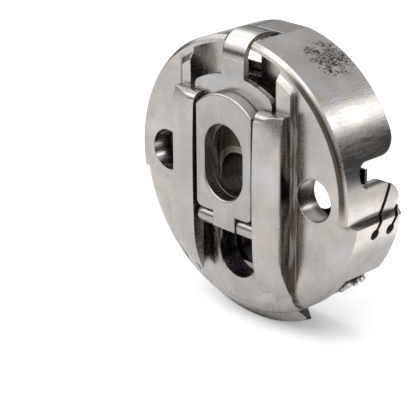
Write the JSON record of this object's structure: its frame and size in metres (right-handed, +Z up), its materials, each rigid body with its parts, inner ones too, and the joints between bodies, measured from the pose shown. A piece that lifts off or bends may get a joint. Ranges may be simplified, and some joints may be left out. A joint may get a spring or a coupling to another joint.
{
  "type": "bobbin case",
  "caption": "Round steel cup with a hinged latch lever, a curled latch finger, a post tube, an inner brake leaf and a tension leaf outside.",
  "frame": {"origin": "on the bore axis, in the plane of the latch face's edge, at the front end of the post sleeve's bore", "axes": "+Y out of the open side along the bore, +Z up along the latch channel toward the finger, +X to the right seen from the latch face"},
  "size_m": [0.0307, 0.0115, 0.0324],
  "materials": {
    "case_steel": "satin polished",
    "sleeve_steel": "turned and polished",
    "sheet_steel": "polished sheet",
    "lever_steel": "satin polished",
    "pin_steel": "ground",
    "spring_wire": "drawn wire",
    "blued_steel": "dark blued",
    "black_steel": "black oxide",
    "bright_screw": "bright",
    "dark_screw": "blackened"
  },
  "bodies": {
    "case": {"case_body": "case_steel", "post_sleeve": "sleeve_steel", "anti_spin_screw": "dark_screw", "tension_fixing_screw_1": "bright_screw", "tension_fixing_screw_2": "bright_screw", "latch_spring": "spring_wire"},
    "slide": {"latch_slide": "sheet_steel", "hinge_pin": "pin_steel"},
    "lever": {"latch_lever": "lever_steel"},
    "brake": {"anti_spin_plate": "blued_steel"},
    "tension_leaf": {"tension_spring": "black_steel"},
    "adjusting_screw": {"tension_adjusting_screw": "bright_screw"}
  },
  "joints": [
    {"name": "slide_travel", "type": "slide", "parent": "case", "child": "slide", "axis": [0, 0, -1], "range_m": [0, 0.0029], "deforming": ["latch_spring"]},
    {"name": "lever_swing", "type": "hinge", "parent": "slide", "child": "lever", "pos_m": [0, -0.00106, -0.0049], "axis": [1, 0, 0], "range_deg": [0, 75], "stiffness_Nm_per_rad": 0.0002},
    {"name": "brake_flex", "type": "hinge", "parent": "case", "child": "brake", "pos_m": [0, 0.00228, 0.0076], "axis": [-1, 0, 0], "range_deg": [0, 0.8], "stiffness_Nm_per_rad": 0.05},
    {"name": "tension_lift", "type": "hinge", "parent": "case", "child": "tension_leaf", "pos_m": [0.011, 0.0054, -0.0099], "axis": [0, -1, 0], "range_deg": [0, 0.6], "stiffness_Nm_per_rad": 0.02},
    {"name": "adjust_turn", "type": "hinge", "parent": "case", "child": "adjusting_screw", "pos_m": [0.00055, 0.0054, -0.01573], "axis": [0.0349, 0, -0.9994], "range_deg": [-90, 90]}
  ],
  "couplings": [
    {"joint": "slide_travel", "follows": "lever_swing", "m_per_rad": 0.002215}
  ]
}
